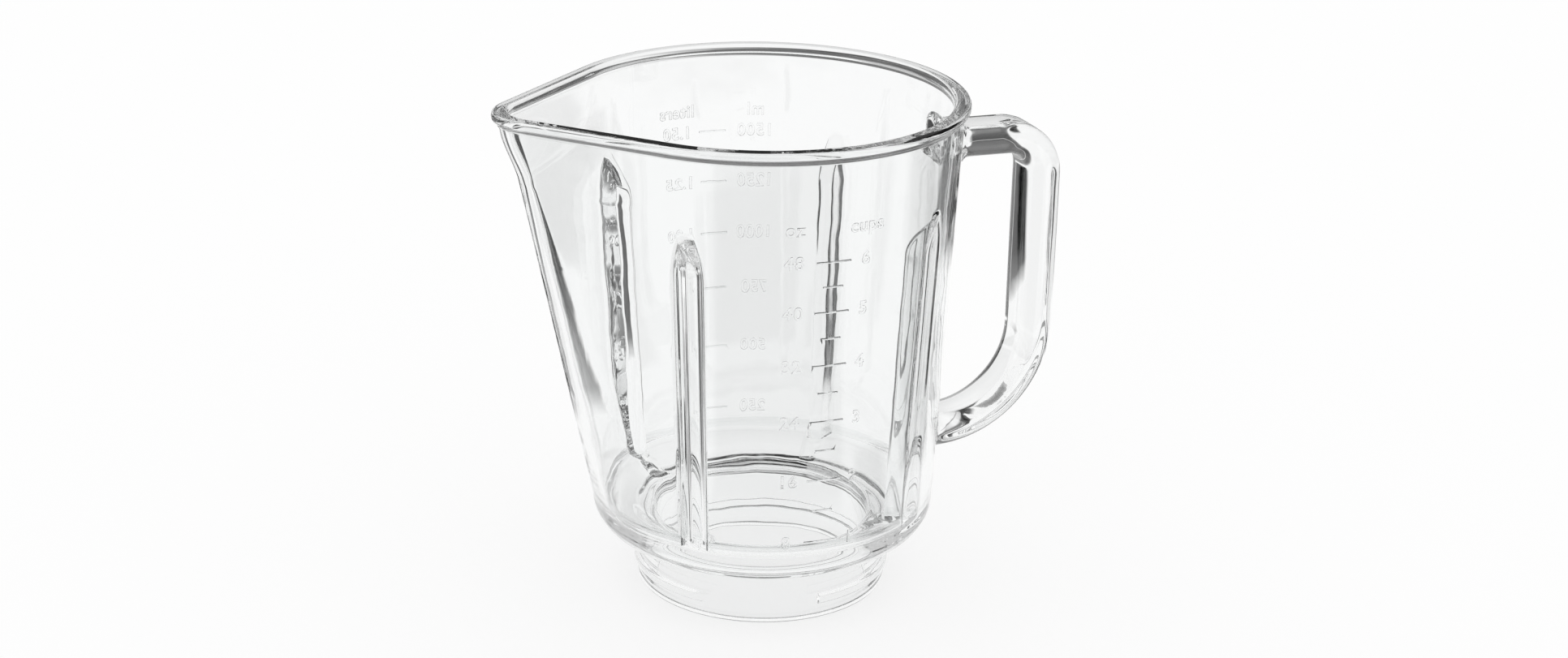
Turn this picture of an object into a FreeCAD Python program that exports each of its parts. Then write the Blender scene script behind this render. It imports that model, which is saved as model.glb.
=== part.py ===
"""Pressed glass jar of a kitchen blender: one casting, modelled as the regions it is formed from.

The jar stands on its foot.  The origin is the centre of the foot on the standing plane, +Z is up,
the handle points along +X and the pouring spout along -X.  All sizes are in millimetres.
"""
import FreeCAD, Part
import math
import os

Vector = FreeCAD.Vector
UP = Vector(0, 0, 1)
ORIGIN = Vector(0, 0, 0)

# ---- Driving dimensions -------------------------------------------------------------------------

wall = 4.0                   # thickness of the glass wall all round

foot_radius = 45.0           # outside of the ring that carries the screw collar
foot_height = 20.6           # standing plane to the underside of the shoulder
foot_edge_bevel = 1.2        # bevel of the foot's lower outside edge
foot_root_bevel = 2.0        # bevel where the foot meets the shoulder
foot_wall = 6.5              # thickness of that ring, from its outside to the open throat

shoulder_step = 3.9          # flat underside between the foot and the shoulder's rounding
shoulder_round = 12.5        # large rounding of the body's lower outside edge
floor_thickness = 12.6       # shoulder's underside up to the floor where it meets the wall inside
floor_bevel = 3.0            # bevel between the floor and the wall inside
floor_fall = 5.4             # how far the floor slopes down from there to the throat
throat_edge_bevel = 1.5      # bevel of the floor's edge at the throat

rim_height = 180.6           # standing plane to the top of the rim
bead_height = 3.6            # height of the bead round the mouth
bead_overhang = 2.0          # how far the bead stands out from the wall
bead_bevel = 1.1             # bevel of the bead's long edges

mouth_radius = 70.0          # outside of the wall's round part just under the bead
mouth_shift = 2.5            # how far the mouth's round part is set towards the spout
spout_reach = 95.2           # axis to the tip of the spout, outside of the wall
spout_nose = 17.0            # outside radius of the spout's tip at the mouth

lip_drop = 21.0              # depth below the bead over which the lip flares out to the spout's tip
lip_reach = 88.4             # axis to the keel's outside where that flare begins
lip_nose = 12.0              # outside radius of the keel where the flare begins
band_count = 4               # straight bands that the wall is drawn in from the shoulder to the flare
flare_band_count = 2         # the same, over the flare
flank_angle = 10.0           # part of the round shoulder, in degrees, that opens into each flank

rib_angle = 48.0             # ribs stand at this angle on both sides of the handle and the spout
rib_depth = 8.7              # how far a rib stands in from the wall
rib_tip_radius = 2.6         # rounding of a rib's inner edge
rib_draft = 14.0             # slope of each side of a rib, in degrees
rib_drop = 30.9              # bead's underside down to where a rib runs out into the wall
rib_ramp = 12.0              # height of the slope at a rib's upper end
rib_crest_round = 4.0        # rounding between that slope and the rib's inner edge

grip_gap = 33.8              # clear width between the grip and the top of the shoulder
handle_width = 20.0          # across the grip, along Y
handle_drop = 12.2           # bead's underside down to the top of the upper arm
handle_rise = 23.1           # shoulder's underside up to the underside of the lower root
grip_thickness = 13.7        # grip, along X
arm_thickness = 11.0         # upper arm, along Z
root_thickness = 12.5        # lower root, along Z
corner_outside = 20.0        # radius of the handle's upper corner, outside
corner_inside = 7.0          # the same, inside
sweep_outside = 45.5         # radius of the lower sweep, outside
sweep_inside = 29.0          # the same, inside
handle_bevel = 3.2           # bevel of the handle's long edges

# ---- Derived heights, radii and outlines ----------------------------------------------------------

throat_radius = foot_radius - foot_wall
shoulder_inset = foot_radius + shoulder_step
base_radius = shoulder_inset + shoulder_round
shoulder_top = foot_height + shoulder_round
bead_bottom = rim_height - bead_height
lip_bottom = bead_bottom - lip_drop
floor_level = foot_height + floor_thickness
throat_edge_level = floor_level - floor_fall
lip_share = (lip_bottom - shoulder_top) / (bead_bottom - shoulder_top)
lip_radius = base_radius + (mouth_radius - base_radius) * lip_share
lip_shift = mouth_shift * lip_share

# Outlines of the wall's outside, each as radius, shift, reach, nose radius and height.
shoulder = (base_radius, 0.0, base_radius, base_radius, shoulder_top)
lip = (lip_radius, lip_shift, lip_reach, lip_nose, lip_bottom)
mouth = (mouth_radius, mouth_shift, spout_reach, spout_nose, bead_bottom)


# ---- Outlines of the body -----------------------------------------------------------------------

def arc_between(centre, radius, start, end):
    """Arc about the vertical through centre, from angle start to angle end, in degrees."""
    def at(angle):
        turn = math.radians(angle)
        return centre + Vector(radius * math.cos(turn), radius * math.sin(turn), 0)
    return Part.Arc(at(start), at((start + end) / 2), at(end)).toShape()


def tangent_angle(radius, shift, reach, nose):
    """Angle off -X at which a straight flank touches both the round part and the nose."""
    return math.degrees(math.acos((radius - nose) / (reach - nose - shift)))


def spouted_outline(radius, shift, reach, nose, height, grow):
    """Round outline drawn out to a nose at x = -reach, as arc, flank, nose and flank.

    grow moves the whole outline outwards, or inwards where it is negative.
    """
    touch = tangent_angle(radius, shift, reach, nose)
    centre = Vector(-shift, 0, height)
    nose_centre = Vector(nose - reach, 0, height)
    back = arc_between(centre, radius + grow, touch - 180, 180 - touch)
    tip = arc_between(nose_centre, nose + grow, 180 - touch, 180 + touch)
    ends = [edge.valueAt(parameter) for edge in (back, tip) for parameter in edge.ParameterRange]
    back_start, back_end, tip_start, tip_end = ends
    first_flank = Part.makeLine(back_end, tip_start)
    second_flank = Part.makeLine(tip_end, back_start)
    return Part.Wire([back, first_flank, tip, second_flank])


def round_outline(radius, height):
    """Circle cut into the same four edges as the outlines of the spouted wall above it."""
    centre = Vector(0, 0, height)
    touch = tangent_angle(lip_radius, lip_shift, lip_reach, lip_nose)
    cuts = (touch - 180, 180 - touch, 180 - touch + flank_angle, 180 + touch - flank_angle, 180 + touch)
    return Part.Wire([arc_between(centre, radius, start, end) for start, end in zip(cuts, cuts[1:])])


def straight_loft(outlines):
    """Solid with straight sides from each outline to the next."""
    return Part.makeLoft(outlines, True, True)


def outlines_between(low, high, bands, grow):
    """Outlines above low, up to and with high, that cut the wall between them into equal bands."""
    def part_way(share):
        return [start + (end - start) * share for start, end in zip(low, high)]
    return [spouted_outline(*part_way(band / bands), grow) for band in range(1, bands + 1)]


def wall_loft(grow):
    """Solid from the top of the shoulder up to the bead, tapered, with the keel and the flared lip."""
    outlines = [round_outline(base_radius + grow, shoulder_top)]
    outlines += outlines_between(shoulder, lip, band_count, grow)
    outlines += outlines_between(lip, mouth, flare_band_count, grow)
    return straight_loft(outlines)


def turned(profile):
    """Solid turned about the Z axis from a closed outline of radii and heights."""
    return Part.Face(closed_outline(profile)).revolve(ORIGIN, UP, 360)


# ---- Outlines in the XZ plane ---------------------------------------------------------------------

def rounded_corner(before, corner, after, radius):
    """Arc of that radius that rounds the corner between two straight runs."""
    arriving = (corner - before).normalize()
    leaving = (after - corner).normalize()
    half_turn = arriving.getAngle(leaving) / 2
    setback = radius * math.tan(half_turn)
    inward = (leaving - arriving).normalize()
    middle = corner + inward * (radius / math.cos(half_turn) - radius)
    return Part.Arc(corner - arriving * setback, middle, corner + leaving * setback).toShape()


def closed_outline(pieces):
    """Closed wire through points and arcs in turn, with straight lines between them."""
    def ends(piece):
        if isinstance(piece, Part.Edge):
            return piece.valueAt(piece.FirstParameter), piece.valueAt(piece.LastParameter)
        return piece, piece
    edges = []
    for piece, following in zip(pieces, pieces[1:] + pieces[:1]):
        if isinstance(piece, Part.Edge):
            edges.append(piece)
        gap_start = ends(piece)[1]
        gap_end = ends(following)[0]
        if gap_start.distanceToPoint(gap_end) > 0.001:
            edges.append(Part.makeLine(gap_start, gap_end))
    return Part.Wire(edges)


def extrude_across(outline, width):
    """Solid of that width along Y, centred on the outline's plane."""
    outline.translate(Vector(0, -width / 2, 0))
    return Part.Face(outline).extrude(Vector(0, width, 0))


# ---- The two bodies that the glass lies between ---------------------------------------------------

def make_envelope():
    """Outside of the jar from the shoulder's underside to the bead, filled solid."""
    corner = Vector(base_radius, 0, foot_height)
    above = Vector(base_radius, 0, rim_height)
    centre = Vector(0, 0, foot_height)
    base = turned([centre, rounded_corner(centre, corner, above, shoulder_round), Vector(0, 0, shoulder_top)])
    return base.fuse(wall_loft(0.0))


def make_cavity():
    """Space inside the jar, with the sloping floor and the throat, before the ribs stand in it."""
    inside = base_radius - wall
    floor_edge = inside - floor_bevel
    room = Part.makeCylinder(inside, shoulder_top).fuse(wall_loft(-wall))
    above_floor = turned([
        Vector(0, 0, throat_edge_level),
        Vector(throat_radius, 0, throat_edge_level),
        Vector(floor_edge, 0, floor_level),
        Vector(floor_edge + rim_height, 0, floor_level + rim_height),
        Vector(0, 0, floor_level + rim_height),
    ])
    throat = Part.makeCylinder(throat_radius, floor_level)
    lead_in = Part.makeCone(
        throat_radius,
        throat_radius + 2 * throat_edge_bevel,
        2 * throat_edge_bevel,
        Vector(0, 0, throat_edge_level - throat_edge_bevel),
    )
    return room.common(above_floor).fuse([throat, lead_in])


# ---- Regions of the casting -----------------------------------------------------------------------

def make_foot():
    """Short ring that the jar stands on and that the collar with the blades screws on to."""
    return turned([
        Vector(throat_radius, 0, 0),
        Vector(foot_radius - foot_edge_bevel, 0, 0),
        Vector(foot_radius, 0, foot_edge_bevel),
        Vector(foot_radius, 0, foot_height - foot_root_bevel),
        Vector(foot_radius + foot_root_bevel, 0, foot_height),
        Vector(throat_radius, 0, foot_height),
    ])


def make_floor(glass):
    """Thick ring of floor round the throat, as far out as the shoulder's rounding."""
    return glass.common(Part.makeCylinder(shoulder_inset, shoulder_top))


def make_wall(glass):
    """Rounded shoulder and tapered wall, with the keel that runs up into the pouring spout."""
    return glass.cut(Part.makeCylinder(shoulder_inset, shoulder_top))


def make_bead():
    """Bead round the mouth, following the spout, with its edges bevelled."""
    def ring(height, grow):
        return spouted_outline(*mouth[:-1], height, grow)
    outside = straight_loft([
        ring(bead_bottom, bead_overhang - bead_bevel),
        ring(bead_bottom + bead_bevel, bead_overhang),
        ring(rim_height - bead_bevel, bead_overhang),
        ring(rim_height, bead_overhang - bead_bevel),
    ])
    inside = straight_loft([
        ring(bead_bottom, -wall),
        ring(rim_height - bead_bevel, -wall),
        ring(rim_height, bead_bevel - wall),
    ])
    return outside.cut(inside)


def inside_reach(radius, shift, angle):
    """Distance from the axis to the inside of a round wall of that outside radius, at that angle."""
    turn = math.radians(angle)
    return math.sqrt((radius - wall) ** 2 - (shift * math.sin(turn)) ** 2) - shift * math.cos(turn)


def make_rib(angle, cavity):
    """Upright rib inside the wall at that angle, with a sloping upper end."""
    low_reach = inside_reach(base_radius, 0.0, angle)
    high_reach = inside_reach(mouth_radius, mouth_shift, angle)
    lean = math.degrees(math.atan2(high_reach - low_reach, bead_bottom - shoulder_top))
    tip = low_reach - rib_depth
    back = low_reach + rib_depth

    # Section: a round tip and two sides with draft, which meet the wall.
    draft = math.radians(rib_draft)
    touch = Vector(tip + rib_tip_radius * (1 - math.sin(draft)), rib_tip_radius * math.cos(draft), 0)
    root = Vector(back, touch.y + (back - touch.x) * math.tan(draft), 0)
    other_touch = Vector(touch.x, -touch.y, 0)
    other_root = Vector(root.x, -root.y, 0)
    round_tip = Part.Arc(touch, Vector(tip, 0, 0), other_touch).toShape()
    bar = Part.Face(closed_outline([round_tip, other_root, root])).extrude(UP * rim_height)

    # Side view of what stays: up the inner edge, round the crest and up the slope into the wall.
    crest = Vector(tip, 0, bead_bottom - rib_drop - rib_ramp)
    beyond = crest + Vector(rib_depth, 0, rib_ramp) * 2
    below = Vector(tip, 0, 0)
    side = closed_outline([
        below - Vector(rib_depth, 0, 0),
        crest - Vector(rib_depth, 0, rib_ramp),
        rounded_corner(below, crest, beyond, rib_crest_round),
        beyond,
        Vector(beyond.x, 0, 0),
    ])
    rib = bar.common(extrude_across(side, 4 * rib_depth))
    rib.rotate(Vector(tip, 0, shoulder_top), Vector(0, 1, 0), lean)
    rib.rotate(ORIGIN, UP, angle)
    return rib.common(cavity)


def make_handle(envelope):
    """D-shaped handle: level upper arm, upright grip and a sweep back to the body."""
    inner_reach = base_radius + grip_gap
    outer_reach = inner_reach + grip_thickness
    arm_top = bead_bottom - handle_drop
    arm_underside = arm_top - arm_thickness
    root_underside = foot_height + handle_rise
    root_topside = root_underside + root_thickness
    top_start = Vector(shoulder_inset, 0, arm_top)
    bottom_start = Vector(shoulder_inset, 0, root_underside)
    root_start = Vector(shoulder_inset, 0, root_topside)
    arm_start = Vector(shoulder_inset, 0, arm_underside)
    outside_corner = Vector(outer_reach, 0, arm_top)
    outside_sweep = Vector(outer_reach, 0, root_underside)
    inside_sweep = Vector(inner_reach, 0, root_topside)
    inside_corner = Vector(inner_reach, 0, arm_underside)
    side = closed_outline([
        top_start,
        rounded_corner(top_start, outside_corner, outside_sweep, corner_outside),
        rounded_corner(outside_corner, outside_sweep, bottom_start, sweep_outside),
        bottom_start,
        root_start,
        rounded_corner(root_start, inside_sweep, inside_corner, sweep_inside),
        rounded_corner(inside_sweep, inside_corner, arm_start, corner_inside),
        arm_start,
    ])
    blank = extrude_across(side, handle_width)

    def runs_along_side(edge):
        box = edge.BoundBox
        return box.YMax - box.YMin < 0.01 and box.XMax > shoulder_inset + 0.01

    long_edges = [edge for edge in blank.Edges if runs_along_side(edge)]
    return blank.makeChamfer(handle_bevel, long_edges).cut(envelope)


# ---- Build ----------------------------------------------------------------------------------------

def main():
    os.makedirs("parts", exist_ok=True)
    envelope = make_envelope()
    cavity = make_cavity()
    glass = envelope.cut(cavity)
    nodes = {
        "foot_ring": make_foot(),
        "floor_ring": make_floor(glass),
        "jar_wall": make_wall(glass),
        "rim_bead": make_bead(),
        "handle": make_handle(envelope),
        "rib_back_right": make_rib(rib_angle, cavity),
        "rib_back_left": make_rib(180 - rib_angle, cavity),
        "rib_front_left": make_rib(180 + rib_angle, cavity),
        "rib_front_right": make_rib(-rib_angle, cavity),
    }
    for name, shape in nodes.items():
        shape.exportStep(f"parts/{name}.step")
        print(f"{name:16s} solids {len(shape.Solids)} valid {shape.isValid()} volume {shape.Volume:9.0f} mm3")


main()
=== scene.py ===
"""Looks of the pressed glass jar of a kitchen blender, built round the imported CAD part.

The jar is one casting, so it is one glass mesh here: a body swept round the axis, with ribs inside
and a screw thread on the foot, united with a handle and raised figures and words.  The raised lines
between the figures are in the same mesh, but aren't united with it cleanly: see tick.  Sizes are in
millimetres and angles in degrees, unless a comment says otherwise.  The meshes are scaled to metres
when they are made.
"""

import bpy
import math
import numpy as np
from mathutils import Matrix, Vector


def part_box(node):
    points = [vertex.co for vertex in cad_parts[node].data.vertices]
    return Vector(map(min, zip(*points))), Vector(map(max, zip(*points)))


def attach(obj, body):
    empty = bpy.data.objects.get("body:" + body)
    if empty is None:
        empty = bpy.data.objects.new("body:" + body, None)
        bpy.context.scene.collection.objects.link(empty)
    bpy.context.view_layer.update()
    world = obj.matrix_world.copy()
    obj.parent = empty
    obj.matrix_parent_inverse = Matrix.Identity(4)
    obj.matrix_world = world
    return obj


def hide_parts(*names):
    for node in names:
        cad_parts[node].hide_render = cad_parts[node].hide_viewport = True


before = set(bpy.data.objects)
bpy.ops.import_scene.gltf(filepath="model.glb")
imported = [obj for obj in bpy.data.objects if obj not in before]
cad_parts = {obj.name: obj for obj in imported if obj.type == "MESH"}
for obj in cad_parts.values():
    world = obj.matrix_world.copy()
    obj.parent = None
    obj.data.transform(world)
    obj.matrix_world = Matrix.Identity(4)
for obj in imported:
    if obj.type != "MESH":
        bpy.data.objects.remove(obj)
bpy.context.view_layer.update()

MM = 0.001


def box_mm(node):
    """Lowest and highest corner of a CAD node, in millimetres."""
    low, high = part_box(node)
    return np.array(low) / MM, np.array(high) / MM


# ---- Sizes that the CAD frame gives --------------------------------------------------------------

foot_top = box_mm("foot_ring")[1][2]
bead_bottom = box_mm("rim_bead")[0][2]
rim_top = box_mm("rim_bead")[1][2]
handle_low, handle_high = box_mm("handle")
handle_width = handle_high[1] - handle_low[1]
handle_reach = handle_high[0]
arm_top = handle_high[2]
root_bottom = handle_low[2]

# ---- Sizes of the body ---------------------------------------------------------------------------

wall = 4.0                    # thickness of the glass wall
foot_radius = 45.0
throat_radius = 38.5
foot_edge_round = 1.2
foot_root_round = 2.5         # hollow rounding between the foot and the shoulder
throat_edge_round = 1.5
throat_foot_round = 0.8
shoulder_inset = 48.9         # radius at which the shoulder's rounding starts
shoulder_round = 12.5
base_radius = shoulder_inset + shoulder_round
shoulder_top = foot_top + shoulder_round
floor_thickness = 12.6
floor_level = foot_top + floor_thickness
floor_fall = 5.4              # how far the floor slopes down from the wall to the throat
floor_round = 4.0             # rounding between floor and wall inside

mouth_radius = 70.0
mouth_shift = 2.5             # how far the mouth's round part is set towards the spout
lip_drop = 21.0               # how far below the bead the lip starts to open
lip_bottom = bead_bottom - lip_drop
lip_reach = 88.4              # axis to the keel's outside where the lip begins to flare
lip_nose = 12.0               # radius of the keel's nose there
mouth_nose = 17.0             # the same at the bead
flare_reach = 2.2             # how far the spout's tip flares out beyond the line of the keel
flare_height = 17.0           # height over which it does so

bead_overhang = 2.0
bead_round = 1.7              # rounding of the bead's four long edges
bead_root_round = 1.3         # hollow rounding under the bead

# ---- Sizes of the ribs, thread, handle and graduations -------------------------------------------

rib_angles = (48.0, 132.0, 228.0, 312.0)
rib_depth = 8.7
rib_tip_radius = 2.6
rib_draft = 14.0
rib_fillet = 5.0              # depth over which a rib's root blends into the wall
rib_top = 149.5               # height at which a rib has run out into the wall
rib_crest = 132.5             # height below which it stands at its full depth
rib_end_fullness = 0.8        # power that makes the run-out rounder the lower it is

thread_start = -82.5          # angle of the thread's blunt end
thread_turn = 313.0           # how far it runs on from there
thread_height = 1.3
thread_low = 5.7              # lower and upper edge of the ridge
thread_high = 9.8
thread_edge = 0.9             # width of the ridge's rounded flanks
thread_start_slope = 1.0      # angles over which the ridge rises at its start and fades at its end
thread_end_slope = 12.0

grip_thickness = 13.7
arm_thickness = 11.0
root_thickness = 12.5
corner_outside = 20.0
corner_inside = 7.0
sweep_outside = 45.5
sweep_inside = 29.0
handle_rounding = 0.42        # rounding of the handle's long edges, as a share of its thickness
handle_flare = 2.2            # how much the handle's ends widen where they run into the wall
handle_flare_length = 5.0
handle_flare_start = 2.0      # how far inside the wall the widening starts to fade
handle_flare_limit = 75.0     # nothing further out from the axis than this is widened
arm_end = 63.8                # where the upper arm ends inside the wall's glass
root_end = 59.5               # where the lower root does

relief = 0.45                 # how far the graduations stand out
relief_root = 0.5             # how deep their solids start below the surface
tick_thickness = 0.7
figure_size = 6.4
figure_bevel = 0.16
long_tick = 12.0
short_tick = 7.0
back_tick = 10.2
front_ticks = -89.6           # angles of the scale in ounces and cups, on the -Y side
ounce_figures = -101.0
cup_figures = -79.8
back_ticks = 89.4             # angles of the scale in litres and millilitres, on the +Y side
litre_figures = 101.3
millilitre_figures = 75.5
front_units = 153.6           # height of the words over the figures
back_units = 155.6
ounces_per_litre = 33.81
low_line = (8.0, 38.7)        # ounces and height of three lines; a curve through them gives the rest
middle_line = (24.0, 84.1)
high_line = (48.0, 141.9)


# ---- Shape of the wall ---------------------------------------------------------------------------

def smooth_step(value):
    """0 up to 0, 1 from 1 on, and a smooth rise between."""
    value = np.clip(value, 0.0, 1.0)
    return value * value * (3.0 - 2.0 * value)


def circle_reach(angle, centre, radius):
    """Distance from the axis to a circle centred at x = centre, at each angle (radians)."""
    half_chord = np.sqrt(np.maximum(radius ** 2 - (centre * np.sin(angle)) ** 2, 0.0))
    return centre * np.cos(angle) + half_chord


def outline_values(height):
    """Radius and shift of the wall's round part, and reach and nose radius of its keel."""
    share = (height - shoulder_top) / (bead_bottom - shoulder_top)
    keel_share = (height - shoulder_top) / (lip_bottom - shoulder_top)
    radius = base_radius + (mouth_radius - base_radius) * share
    shift = mouth_shift * share
    reach = base_radius + (lip_reach - base_radius) * keel_share
    reach += flare_reach * smooth_step((height - lip_bottom) / flare_height)
    nose = base_radius + (lip_nose - base_radius) * keel_share
    if keel_share > 1.0:
        lip_share = (height - lip_bottom) / (bead_bottom - lip_bottom)
        nose = lip_nose + (mouth_nose - lip_nose) * lip_share
    return radius, shift, reach, nose


def wall_reach(angle, height, grow=0.0):
    """Distance from the axis to the wall at each angle (radians), moved out by grow."""
    height = min(max(height, shoulder_top), bead_bottom)
    radius, shift, reach, nose = outline_values(height)
    if height <= shoulder_top + 0.01:
        return np.full_like(angle, radius + grow)
    folded = np.abs((angle + math.pi) % (2 * math.pi) - math.pi)
    flank = math.pi - math.acos((radius - nose) / (reach - nose - shift))
    radius += grow
    nose_centre = nose - reach
    nose += grow
    round_end = math.atan2(radius * math.sin(flank), radius * math.cos(flank) - shift)
    nose_start = math.atan2(nose * math.sin(flank), nose * math.cos(flank) + nose_centre)
    flank_distance = radius - shift * math.cos(flank)
    near_flank = np.minimum(np.abs(folded - flank), 1.5)   # keeps the cosine well above zero
    on_flank = flank_distance / np.cos(near_flank)
    out = np.where(folded < round_end, circle_reach(folded, -shift, radius), on_flank)
    return np.where(folded > nose_start, circle_reach(folded, nose_centre, nose), out)


# ---- Ribs and thread, as reliefs on the round surfaces -------------------------------------------

def smooth_max(first, second, width):
    """The larger of two values, rounded where they differ by less than width."""
    blend = np.maximum(width - np.abs(first - second), 0.0)
    return np.maximum(first, second) + blend * blend / (4.0 * width)


def rib_relief(angle, height):
    """How far each column (angle in radians) stands in from the wall because of a rib."""
    draft = math.radians(rib_draft)
    touch = rib_tip_radius * math.cos(draft)
    touch_depth = rib_tip_radius * (1.0 - math.sin(draft))
    past_crest = min(max((height - rib_crest) / (rib_top - rib_crest), 0.0), 1.0)
    run_out = math.cos(past_crest * math.pi / 2) ** rib_end_fullness
    crest = -rib_fillet + (rib_depth + rib_fillet) * run_out
    depth = np.zeros_like(angle)
    far_away = 1e3
    for middle in rib_angles:
        turn = (angle - math.radians(middle) + math.pi) % (2 * math.pi) - math.pi
        offset = np.abs((base_radius - wall) * np.sin(turn))
        offset = np.where(np.abs(turn) > 1.0, far_away, offset)
        tip = crest - rib_tip_radius + np.sqrt(np.maximum(rib_tip_radius ** 2 - offset ** 2, 0.0))
        side = crest - touch_depth - (offset - touch) / math.tan(draft)
        depth += smooth_max(np.where(offset < touch, tip, side), 0.0, rib_fillet)
    return depth


def thread_relief(angle, height):
    """How far the foot's outside stands out at each angle (radians) because of the thread."""
    past_start = (np.degrees(angle) - thread_start) % 360.0
    rise = smooth_step(past_start / thread_start_slope)
    along = rise * smooth_step((thread_turn - past_start) / thread_end_slope)
    middle = (thread_low + thread_high) / 2
    half = (thread_high - thread_low) / 2
    across = smooth_step((half - abs(height - middle)) / thread_edge)
    return thread_height * along * across


# ---- Mesh of the body ----------------------------------------------------------------------------

def column_angles():
    """Angles of the mesh's columns in radians, in even steps.

    They are closer together at the nose, at the thread's start and on the ribs.
    """
    angles = set(np.arange(0.0, 360.0, 1.0).round(4))
    angles |= set(np.arange(168.0, 192.0, 0.25).round(4))
    angles |= set(((np.arange(-1.0, 2.5, 0.1) + thread_start) % 360.0).round(4))
    offsets = np.concatenate([np.arange(0.0, 7.0, 0.2), np.arange(0.1, 3.0, 0.2)])
    for middle in rib_angles:
        turns = np.degrees(np.arcsin(offsets / (base_radius - wall)))
        angles |= set(((middle + turns) % 360.0).round(4)) | set(((middle - turns) % 360.0).round(4))
    ordered = sorted(angles)
    following = ordered[1:] + [ordered[0] + 360.0]
    closest = 0.04
    kept = [turn for turn, after in zip(ordered, following) if after - turn > closest]
    return np.radians(np.array(kept))


def arc(centre_radius, centre_height, radius, start, end, steps):
    """Points of a rounding in the plane of radius and height, from angle start to angle end."""
    turns = np.radians(np.linspace(start, end, steps + 1))
    return [
        (centre_radius + radius * math.cos(turn), centre_height + radius * math.sin(turn))
        for turn in turns
    ]


def ring(angle, reach, height):
    """One row of the body's mesh."""
    return np.stack([reach * np.cos(angle), reach * np.sin(angle), np.full_like(angle, height)], axis=1)


def outside_rows(angle):
    """Rows from the foot's underside up the outside to the underside of the bead."""
    rows = []
    low = arc(throat_radius + throat_foot_round, throat_foot_round, throat_foot_round, 225, 270, 3)
    low += arc(foot_radius - foot_edge_round, foot_edge_round, foot_edge_round, -90, 0, 6)
    for radius, height in low:
        rows.append(ring(angle, np.full_like(angle, radius), height))
    fillet_start = foot_top - foot_root_round
    for height in np.arange(foot_edge_round + 0.4, fillet_start, 0.3):
        rows.append(ring(angle, foot_radius + thread_relief(angle, height), height))
    high = arc(foot_radius + foot_root_round, fillet_start, foot_root_round, 180, 90, 8)
    high += arc(shoulder_inset, shoulder_top, shoulder_round, -90, 0, 24)
    for radius, height in high:
        rows.append(ring(angle, np.full_like(angle, radius), height))
    for height in wall_heights(shoulder_top + 2.0):
        rows.append(ring(angle, wall_reach(angle, height), height))
    return rows


def wall_heights(start):
    """Heights of the rows on the wall, closer together over the ribs' run-out and the lip."""
    change = rib_crest - 4.0
    end = bead_bottom - bead_root_round
    return np.concatenate([np.arange(start, change, 2.5), np.arange(change, end, 0.8)])


def bead_rows(angle):
    """Rows round the bead: hollow rounding below it, outside, top and inside."""
    profile = arc(bead_root_round, bead_bottom - bead_root_round, bead_root_round, 180, 110, 5)
    outer = bead_overhang - bead_round
    inner = bead_round - wall
    profile += arc(outer, bead_bottom + bead_round, bead_round, -55, 0, 5)
    profile += arc(outer, rim_top - bead_round, bead_round, 0, 90, 8)
    profile += [((outer + inner) / 2, rim_top)]
    profile += arc(inner, rim_top - bead_round, bead_round, 90, 180, 8)
    return [ring(angle, wall_reach(angle, bead_bottom, grow), height) for grow, height in profile]


def inside_rows(angle):
    """Rows down the inside with its ribs, over the floor and down the throat."""
    ribs = np.array(rib_angles)
    apart = np.abs((np.degrees(angle)[:, None] - ribs + 180) % 360 - 180)
    nearest = np.radians(ribs[np.argmin(apart, axis=1)])
    inward = -np.stack([np.cos(nearest), np.sin(nearest), np.zeros_like(angle)], axis=1)

    def pressed_in(row, height):
        return row + inward * rib_relief(angle, height)[:, None]

    rows = []
    for height in wall_heights(shoulder_top)[::-1]:
        rows.append(pressed_in(ring(angle, wall_reach(angle, height, -wall), height), height))
    inside = base_radius - wall
    corner = arc(inside - floor_round, floor_level + floor_round, floor_round, 0, -90, 9)
    for radius, height in corner:
        rows.append(pressed_in(ring(angle, np.full_like(angle, radius), height), shoulder_top))
    edge_level = floor_level - floor_fall
    edge_radius = throat_radius + throat_edge_round
    edge = arc(edge_radius, edge_level - throat_edge_round, throat_edge_round, 90, 180, 6)
    floor_start = rows[-1]
    floor_end = ring(angle, np.full_like(angle, edge[0][0]), edge_level)
    for share in (0.12, 0.25, 0.4, 0.55, 0.7, 0.85):
        row = floor_start * (1 - share) + floor_end * share
        row[:, 2] = floor_level - floor_fall * smooth_step(share)
        rows.append(row)
    lower = arc(throat_radius + throat_foot_round, throat_foot_round, throat_foot_round, 180, 225, 3)
    middle_heights = np.linspace(edge[-1][1], lower[0][1], 6)[1:-1]
    straight = [(throat_radius, height) for height in middle_heights]
    for radius, height in edge + straight + lower[:-1]:
        rows.append(ring(angle, np.full_like(angle, radius), height))
    return rows


def mesh_object(name, points, faces):
    """Object in metres from points in millimetres."""
    mesh = bpy.data.meshes.new(name)
    mesh.from_pydata([tuple(p) for p in np.asarray(points) * MM], [], faces)
    mesh.update()
    made = bpy.data.objects.new(name, mesh)
    bpy.context.scene.collection.objects.link(made)
    return made


def grid_faces(row_count, column_count, closed_rows):
    """Quads between neighbouring rows and columns; the columns close on themselves."""
    faces = []
    for row in range(row_count if closed_rows else row_count - 1):
        this = row * column_count
        following = ((row + 1) % row_count) * column_count
        for column in range(column_count):
            after = (column + 1) % column_count
            faces.append((this + column, this + after, following + after, following + column))
    return faces


def bar_faces(row_count, column_count):
    """Faces of a closed bar: its sides, and a cap at each end."""
    faces = grid_faces(row_count, column_count, closed_rows=False)
    faces.append(tuple(range(column_count))[::-1])
    faces.append(tuple(range((row_count - 1) * column_count, row_count * column_count)))
    return faces


def make_body():
    angle = column_angles()
    rows = outside_rows(angle) + bead_rows(angle) + inside_rows(angle)
    faces = grid_faces(len(rows), len(angle), closed_rows=True)
    return mesh_object("jar_glass", np.concatenate(rows), faces)


# ---- Handle --------------------------------------------------------------------------------------

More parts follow.
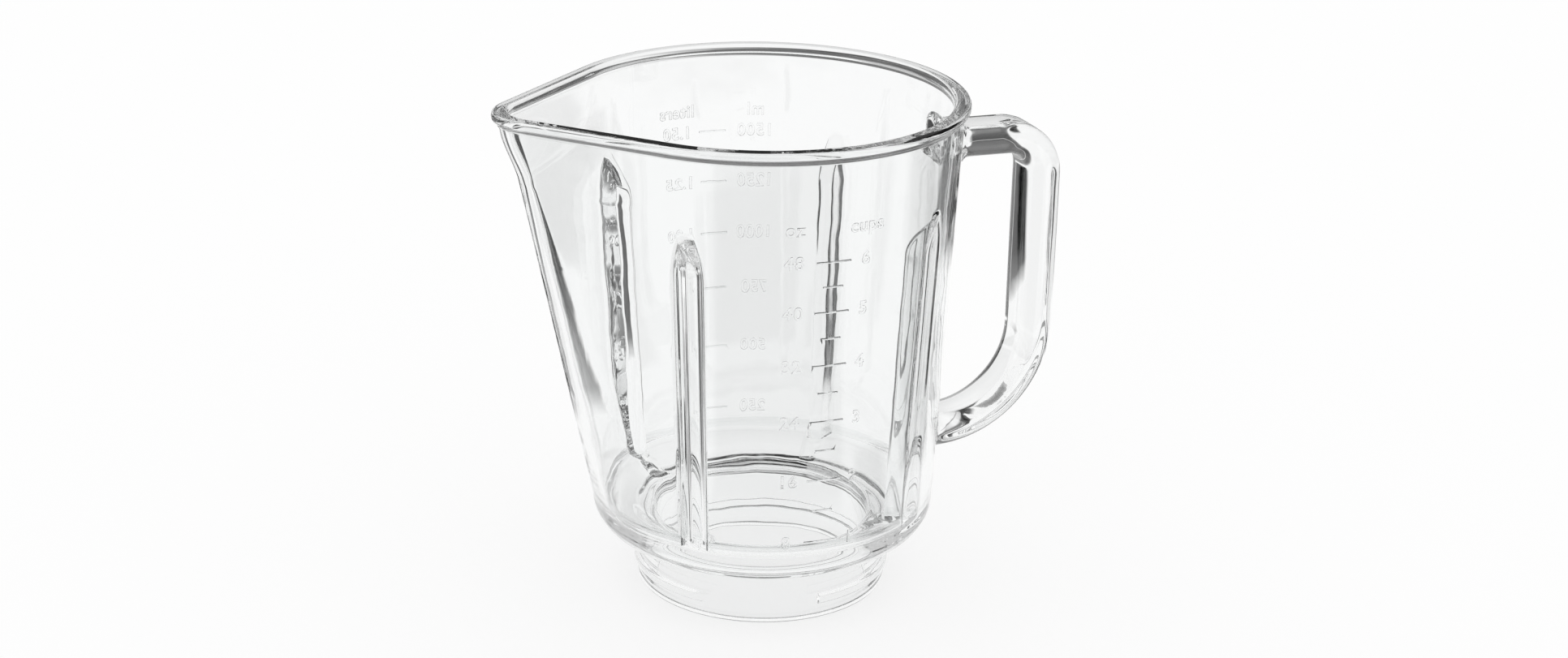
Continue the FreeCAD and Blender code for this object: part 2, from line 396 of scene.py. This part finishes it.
def handle_stations():
    """Outer and inner points of the handle in the XZ plane, in pairs, from arm to root."""
    grip_inside = handle_reach - grip_thickness
    arm_bottom = arm_top - arm_thickness
    root_top = root_bottom + root_thickness
    corners = (
        ((handle_reach - corner_outside, arm_top - corner_outside), corner_outside,
         (grip_inside - corner_inside, arm_bottom - corner_inside), corner_inside, 90),
        ((handle_reach - sweep_outside, root_bottom + sweep_outside), sweep_outside,
         (grip_inside - sweep_inside, root_top + sweep_inside), sweep_inside, 0),
    )
    stations = []

    def straight(outer_start, outer_end, inner_start, inner_end, steps):
        for share in np.linspace(0.0, 1.0, steps, endpoint=False):
            outer = np.array(outer_start) * (1 - share) + np.array(outer_end) * share
            inner = np.array(inner_start) * (1 - share) + np.array(inner_end) * share
            stations.append((outer, inner))

    def corner_points(corner, degrees):
        turn = math.radians(degrees)
        way = np.array([math.cos(turn), math.sin(turn)])
        outer_centre, outer_radius, inner_centre, inner_radius, _ = corner
        return np.array(outer_centre) + outer_radius * way, np.array(inner_centre) + inner_radius * way

    first_outer, first_inner = corner_points(corners[0], 90)
    straight((arm_end, arm_top), first_outer, (arm_end, arm_bottom), first_inner, 14)
    for index, corner in enumerate(corners):
        for degrees in np.linspace(corner[4], corner[4] - 90, 28, endpoint=False):
            stations.append(corner_points(corner, degrees))
        leaving = corner_points(corner, corner[4] - 90)
        if index == 0:
            arriving = corner_points(corners[1], 0)
            straight(leaving[0], arriving[0], leaving[1], arriving[1], 16)
        else:
            straight(leaving[0], (root_end, root_bottom), leaving[1], (root_end, root_top), 5)
            stations.append((np.array([root_end, root_bottom]), np.array([root_end, root_top])))
    return stations


def rounded_section(half_width, half_thickness, rounding, steps):
    """Closed outline of a rounded rectangle, as pairs across and along the thickness."""
    points = []
    for side_y, side_t, start in ((1, 1, 0), (-1, 1, 90), (-1, -1, 180), (1, -1, 270)):
        centre = (side_y * (half_width - rounding), side_t * (half_thickness - rounding))
        points += arc(centre[0], centre[1], rounding, start, start + 90, steps)
    return np.array(points)


def make_handle():
    """Closed bar of rounded section along the handle, a little wider where it runs into the wall."""
    rows = []
    for outer, inner in handle_stations():
        across = outer - inner
        thickness = np.linalg.norm(across)
        middle = (outer + inner) / 2
        share = (middle[1] - shoulder_top) / (bead_bottom - shoulder_top)
        outside_wall = base_radius + (mouth_radius - base_radius) * share
        clear = middle[0] - outside_wall + handle_flare_start
        grow = 0.0
        if middle[0] < handle_flare_limit:
            grow = handle_flare * (1.0 - smooth_step(clear / handle_flare_length))
        rounding = thickness * handle_rounding
        section = rounded_section(handle_width / 2 + grow, thickness / 2 + grow, rounding, 7)
        way = across / thickness
        rows.append(np.stack([
            middle[0] + way[0] * section[:, 1],
            section[:, 0],
            middle[1] + way[1] * section[:, 1],
        ], axis=1))
    return mesh_object("handle_blank", np.concatenate(rows), bar_faces(len(rows), len(rows[0])))


# ---- Graduations ---------------------------------------------------------------------------------

def line_height(ounces):
    """Height of the line for that volume, on the curve through the three given lines."""
    lower = (middle_line[1] - low_line[1]) / (middle_line[0] - low_line[0])
    upper = (high_line[1] - middle_line[1]) / (high_line[0] - middle_line[0])
    bend = (upper - lower) / (high_line[0] - low_line[0])
    return low_line[1] + (ounces - low_line[0]) * (lower + bend * (ounces - middle_line[0]))


def wrapped(points, angle_degrees, height):
    """Points given as (along, up, out) laid on the wall's outside round an angle and a height."""
    middle = math.radians(angle_degrees)
    radius = float(wall_reach(np.array([middle]), height)[0])
    placed = []
    for along, up, out in points:
        turn = middle + along / radius
        reach = float(wall_reach(np.array([turn]), height + up)[0]) + out
        placed.append((reach * math.cos(turn), reach * math.sin(turn), height + up))
    return placed


def tick(angle_degrees, height, length):
    """Points and faces of a raised line with bevelled top edges.

    Known fault: the section is listed the wrong way round, so the line's faces point inwards, and the
    union doesn't merge it with the wall as it should.  Listed in reverse, they would point outwards.
    """
    half = tick_thickness / 2
    top = half * 0.45
    section = [
        (-half, -relief_root), (-half, relief * 0.5), (-top, relief),
        (top, relief), (half, relief * 0.5), (half, -relief_root),
    ]
    steps = 12
    points = []
    for step in range(steps + 1):
        along = length * (step / steps - 0.5)
        points += wrapped([(along, up, out) for up, out in section], angle_degrees, height)
    return points, bar_faces(steps + 1, len(section))


def figures(text, angle_degrees, height):
    """Points and faces of raised figures or a word, centred at that place on the wall."""
    curve = bpy.data.curves.new("figures", "FONT")
    curve.body = text
    curve.size = figure_size
    curve.align_x = "CENTER"
    curve.align_y = "CENTER"
    curve.extrude = (relief + relief_root) / 2 - figure_bevel
    curve.bevel_depth = figure_bevel
    curve.bevel_resolution = 1
    curve.resolution_u = 4
    curve.space_character = 1.1
    shape = bpy.data.objects.new("figures", curve)
    bpy.context.scene.collection.objects.link(shape)
    bpy.context.view_layer.update()
    evaluated = shape.evaluated_get(bpy.context.evaluated_depsgraph_get())
    mesh = bpy.data.meshes.new_from_object(evaluated)
    lift = (relief - relief_root) / 2
    flat = [(vertex.co.x, vertex.co.y, vertex.co.z + lift) for vertex in mesh.vertices]
    faces = [tuple(polygon.vertices) for polygon in mesh.polygons]
    bpy.data.objects.remove(shape)
    bpy.data.meshes.remove(mesh)
    return wrapped(flat, angle_degrees, height), faces


def make_graduations():
    """All raised lines, figures and unit words, as one object of closed pieces."""
    pieces = [
        figures("oz", ounce_figures, front_units),
        figures("cups", cup_figures, front_units),
        figures("liters", litre_figures, back_units),
        figures("ml", millilitre_figures, back_units),
    ]
    for ounces in range(8, 49, 4):
        height = line_height(ounces)
        if ounces % 8:
            pieces.append(tick(front_ticks, height, short_tick))
        else:
            pieces.append(tick(front_ticks, height, long_tick))
            pieces.append(figures(str(ounces), ounce_figures, height))
            pieces.append(figures(str(ounces // 8), cup_figures, height))
    for millilitres in range(250, 1501, 250):
        litres = millilitres / 1000
        height = line_height(litres * ounces_per_litre)
        pieces.append(tick(back_ticks, height, back_tick))
        pieces.append(figures(str(millilitres), millilitre_figures, height))
        pieces.append(figures(f"{litres:.2f}", litre_figures, height))
    points = []
    faces = []
    for piece_points, piece_faces in pieces:
        start = len(points)
        points += piece_points
        faces += [tuple(start + corner for corner in face) for face in piece_faces]
    made = mesh_object("graduations", points, faces)
    weld(made)
    return made


def weld(made):
    """Joins points that lie on each other, so that each solid in a mesh is closed."""
    modifier = made.modifiers.new("weld", "WELD")
    modifier.merge_threshold = 0.005 * MM
    apply_modifiers(made)


def apply_modifiers(made):
    """Gives an object the mesh that its modifiers make, and takes them off."""
    evaluated = made.evaluated_get(bpy.context.evaluated_depsgraph_get())
    mesh = bpy.data.meshes.new_from_object(evaluated)
    old = made.data
    made.modifiers.clear()
    made.data = mesh
    bpy.data.meshes.remove(old)


# ---- Joining -------------------------------------------------------------------------------------

def unite(body, others):
    """Adds the other solids to the body's mesh and removes them."""
    for other in others:
        modifier = body.modifiers.new(other.name, "BOOLEAN")
        modifier.operation = "UNION"
        modifier.solver = "MANIFOLD"
        modifier.object = other
    apply_modifiers(body)
    for other in others:
        bpy.data.objects.remove(other)


jar = make_body()
unite(jar, [make_handle(), make_graduations()])
for polygon in jar.data.polygons:
    polygon.use_smooth = True
jar.data.set_sharp_from_angle(angle=math.radians(35))


# ---- Material ------------------------------------------------------------------------------------

def glass_material():
    material = bpy.data.materials.new("pressed_glass")
    material.use_nodes = True
    nodes = material.node_tree.nodes
    links = material.node_tree.links
    shader = nodes["Principled BSDF"]
    shader.inputs["Base Color"].default_value = (0.968, 0.974, 0.973, 1.0)
    shader.inputs["Transmission Weight"].default_value = 1.0
    shader.inputs["IOR"].default_value = 1.5
    place = nodes.new("ShaderNodeTexCoord")
    waves = nodes.new("ShaderNodeTexNoise")
    waves.inputs["Scale"].default_value = 55.0
    waves.inputs["Detail"].default_value = 1.5
    links.new(place.outputs["Object"], waves.inputs["Vector"])
    bump = nodes.new("ShaderNodeBump")
    bump.inputs["Strength"].default_value = 0.35
    bump.inputs["Distance"].default_value = 0.0004
    links.new(waves.outputs["Fac"], bump.inputs["Height"])
    links.new(bump.outputs["Normal"], shader.inputs["Normal"])
    haze = nodes.new("ShaderNodeTexNoise")
    haze.inputs["Scale"].default_value = 300.0
    links.new(place.outputs["Object"], haze.inputs["Vector"])
    spread = nodes.new("ShaderNodeMapRange")
    spread.inputs["To Min"].default_value = 0.0
    spread.inputs["To Max"].default_value = 0.02
    links.new(haze.outputs["Fac"], spread.inputs["Value"])
    links.new(spread.outputs["Result"], shader.inputs["Roughness"])
    return material


jar.data.materials.clear()
jar.data.materials.append(glass_material())
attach(jar, "root")
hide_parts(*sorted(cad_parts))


# ---- Floor, light and camera ---------------------------------------------------------------------

floor_width = 12.0            # metres, as the other lengths in this section
floor_glow = 0.8              # share of its brightness that the floor gives off by itself
card_height = 0.001
card_soft_angle = 4.0         # degrees over which a card darkens from its sides
card_end_slope = 7.0          # how steeply it darkens from its near and far ends
camera_place = (-0.2840, -0.8380, 0.4283)
camera_heading = 70.84
camera_pitch = -20.70
camera_roll = -1.20
camera_lens = 61.12           # millimetres, for a sensor 36 mm wide
most_bounces = 24             # a ray in thick glass is often mirrored inside many times


def mapped(nodes, links, source, start, end, low, high):
    """Smooth step from low to high while the source runs from start to end."""
    step = nodes.new("ShaderNodeMapRange")
    step.interpolation_type = "SMOOTHSTEP"
    step.inputs["From Min"].default_value = start
    step.inputs["From Max"].default_value = end
    step.inputs["To Min"].default_value = low
    step.inputs["To Max"].default_value = high
    links.new(source, step.inputs["Value"])
    return step.outputs["Result"]


def combined(nodes, links, operation, first, second):
    """Sum, product, maximum or the like of two values, each a number or a socket."""
    node = nodes.new("ShaderNodeMath")
    node.operation = operation
    for index, value in enumerate((first, second)):
        if isinstance(value, float):
            node.inputs[index].default_value = value
        else:
            links.new(value, node.inputs[index])
    return node.outputs[0]


def is_bent(nodes, links):
    """1 for rays that the glass bends or mirrors, else 0."""
    path = nodes.new("ShaderNodeLightPath")
    outputs = path.outputs
    return combined(nodes, links, "MAXIMUM", outputs["Is Glossy Ray"], outputs["Is Transmission Ray"])


def is_seen(nodes, links):
    """1 for rays from the camera and for those that the glass bends or mirrors, else 0."""
    path = nodes.new("ShaderNodeLightPath")
    bent = is_bent(nodes, links)
    return combined(nodes, links, "MAXIMUM", path.outputs["Is Camera Ray"], bent)


def make_floor():
    """White floor, which gives off most of its brightness where it is seen, and keeps a soft shadow."""
    half = floor_width / 2
    corners = [(-half, -half, 0), (half, -half, 0), (half, half, 0), (-half, half, 0)]
    mesh = bpy.data.meshes.new("floor")
    mesh.from_pydata(corners, [], [(0, 1, 2, 3)])
    floor = bpy.data.objects.new("floor", mesh)
    bpy.context.scene.collection.objects.link(floor)
    material = bpy.data.materials.new("white_floor")
    material.use_nodes = True
    nodes = material.node_tree.nodes
    links = material.node_tree.links
    nodes.clear()
    output = nodes.new("ShaderNodeOutputMaterial")
    matt = nodes.new("ShaderNodeBsdfDiffuse")
    matt.inputs["Color"].default_value = (0.96, 0.96, 0.96, 1.0)
    white = nodes.new("ShaderNodeEmission")
    white.inputs["Color"].default_value = (1.0, 1.0, 1.0, 1.0)
    share = combined(nodes, links, "MULTIPLY", is_seen(nodes, links), floor_glow)
    mix = nodes.new("ShaderNodeMixShader")
    links.new(share, mix.inputs[0])
    links.new(matt.outputs[0], mix.inputs[1])
    links.new(white.outputs[0], mix.inputs[2])
    links.new(mix.outputs[0], output.inputs["Surface"])
    mesh.materials.append(material)


def flag_material():
    """Emission at the brightness that each point of a card carries."""
    material = bpy.data.materials.new("dark_card")
    material.use_nodes = True
    nodes = material.node_tree.nodes
    nodes.clear()
    output = nodes.new("ShaderNodeOutputMaterial")
    level = nodes.new("ShaderNodeAttribute")
    level.attribute_name = "level"
    card = nodes.new("ShaderNodeEmission")
    material.node_tree.links.new(level.outputs["Fac"], card.inputs["Color"])
    material.node_tree.links.new(card.outputs[0], output.inputs["Surface"])
    return material


def make_flag(name, material, start, end, near, far, darkest):
    """Card lying on the floor, a sector of a ring in degrees and metres, seen only by the glass.

    It is as bright as the floor at its edges and falls off to darkest in the middle.
    """
    rings = 10
    turns = np.radians(np.linspace(start, end, 24))
    points = []
    levels = []
    for out in np.linspace(0.0, 1.0, rings):
        reach = near * (far / near) ** out
        for along, turn in zip(np.linspace(0.0, 1.0, len(turns)), turns):
            inside = min(along, 1.0 - along) * (end - start) / card_soft_angle
            inside = min(inside, min(out, 1.0 - out) * card_end_slope)
            points.append((reach * math.cos(turn), reach * math.sin(turn), card_height))
            levels.append(1.0 + (darkest - 1.0) * float(smooth_step(inside)))
    count = len(turns)
    faces = []
    for row in range(rings - 1):
        for column in range(count - 1):
            corner = row * count + column
            faces.append((corner, corner + count, corner + count + 1, corner + 1))
    mesh = bpy.data.meshes.new(name)
    mesh.from_pydata(points, [], faces)
    mesh.attributes.new("level", "FLOAT", "POINT").data.foreach_set("value", levels)
    mesh.materials.append(material)
    flag = bpy.data.objects.new(name, mesh)
    bpy.context.scene.collection.objects.link(flag)
    flag.visible_camera = False
    flag.visible_diffuse = False
    flag.visible_shadow = False


def make_flags():
    """Cards that draw the dark lines in the glass.

    They keep clear of the floor that the glass wall shows plainly behind it in the usual views.
    """
    card = flag_material()
    make_flag("flag_left", card, 101, 119, 0.15, 0.7, 0.02)
    make_flag("flag_front_left", card, 151, 172, 0.22, 0.6, 0.03)
    make_flag("flag_near_left", card, 203, 218, 0.1, 0.3, 0.2)
    make_flag("flag_front", card, 224, 298, 0.13, 0.65, 0.05)
    make_flag("flag_front_right", card, 303, 327, 0.11, 0.19, 0.02)
    make_flag("flag_right", card, 338, 371, 0.14, 0.75, 0.0)
    make_flag("flag_back_right", card, 8, 50, 0.35, 0.8, 0.0)
    make_flag("flag_sweep_left", card, 106, 164, 0.9, 5.9, 0.2)
    make_flag("flag_sweep_right", card, 198, 440, 0.9, 5.9, 0.1)


def make_world():
    """White for the camera and matt surfaces; for the glass a dim room.

    That room has a bright horizon towards +Y and -X, a wide dim glow higher up and a softbox overhead.
    """
    world = bpy.data.worlds.new("studio")
    world.use_nodes = True
    bpy.context.scene.world = world
    nodes = world.node_tree.nodes
    links = world.node_tree.links
    nodes.clear()
    output = nodes.new("ShaderNodeOutputWorld")
    place = nodes.new("ShaderNodeTexCoord")
    split = nodes.new("ShaderNodeSeparateXYZ")
    links.new(place.outputs["Generated"], split.inputs[0])
    height = split.outputs["Z"]
    opposite = combined(nodes, links, "MULTIPLY", split.outputs["X"], -1.0)
    towards = combined(nodes, links, "MAXIMUM", split.outputs["Y"], opposite)
    around = mapped(nodes, links, towards, 0.95, 0.975, 0.1, 1.0)
    fading = mapped(nodes, links, height, 0.12, 0.22, 1.0, 0.15)
    horizon = combined(nodes, links, "MULTIPLY", around, fading)
    glow = mapped(nodes, links, height, 0.42, 0.6, 0.12, 0.55)
    softbox = mapped(nodes, links, height, 0.82, 0.88, 0.0, 1.0)
    below = combined(nodes, links, "MAXIMUM", horizon, glow)
    room = combined(nodes, links, "MAXIMUM", below, softbox)
    plain = nodes.new("ShaderNodeBackground")
    plain.inputs["Strength"].default_value = 1.0
    plain.inputs["Color"].default_value = (1, 1, 1, 1)
    seen = nodes.new("ShaderNodeBackground")
    seen.inputs["Color"].default_value = (1, 1, 1, 1)
    links.new(room, seen.inputs["Strength"])
    mix = nodes.new("ShaderNodeMixShader")
    links.new(is_bent(nodes, links), mix.inputs[0])
    links.new(plain.outputs[0], mix.inputs[1])
    links.new(seen.outputs[0], mix.inputs[2])
    links.new(mix.outputs[0], output.inputs["Surface"])


def make_camera():
    """Camera at the photograph's place, with its heading, downward pitch, slight roll and lens."""
    data = bpy.data.cameras.new("camera")
    data.sensor_width = 36.0
    data.lens = camera_lens
    camera = bpy.data.objects.new("camera", data)
    bpy.context.scene.collection.objects.link(camera)
    heading = math.radians(camera_heading)
    pitch = math.radians(camera_pitch)
    roll = math.radians(camera_roll)
    forward = Vector((
        math.cos(heading) * math.cos(pitch),
        math.sin(heading) * math.cos(pitch),
        math.sin(pitch),
    ))
    right = forward.cross(Vector((0, 0, 1))).normalized()
    down = forward.cross(right)
    image_right = right * math.cos(roll) + down * math.sin(roll)
    image_up = right * math.sin(roll) - down * math.cos(roll)
    turn = Matrix((image_right, image_up, -forward)).transposed()
    camera.matrix_world = Matrix.Translation(Vector(camera_place)) @ turn.to_4x4()
    data.clip_start = 0.01
    data.clip_end = 50.0
    bpy.context.scene.camera = camera


make_floor()
make_flags()
make_world()
make_camera()
bpy.context.scene.view_settings.view_transform = "Standard"
bpy.context.scene.cycles.max_bounces = most_bounces
bpy.context.scene.cycles.glossy_bounces = most_bounces
bpy.context.scene.cycles.transmission_bounces = most_bounces
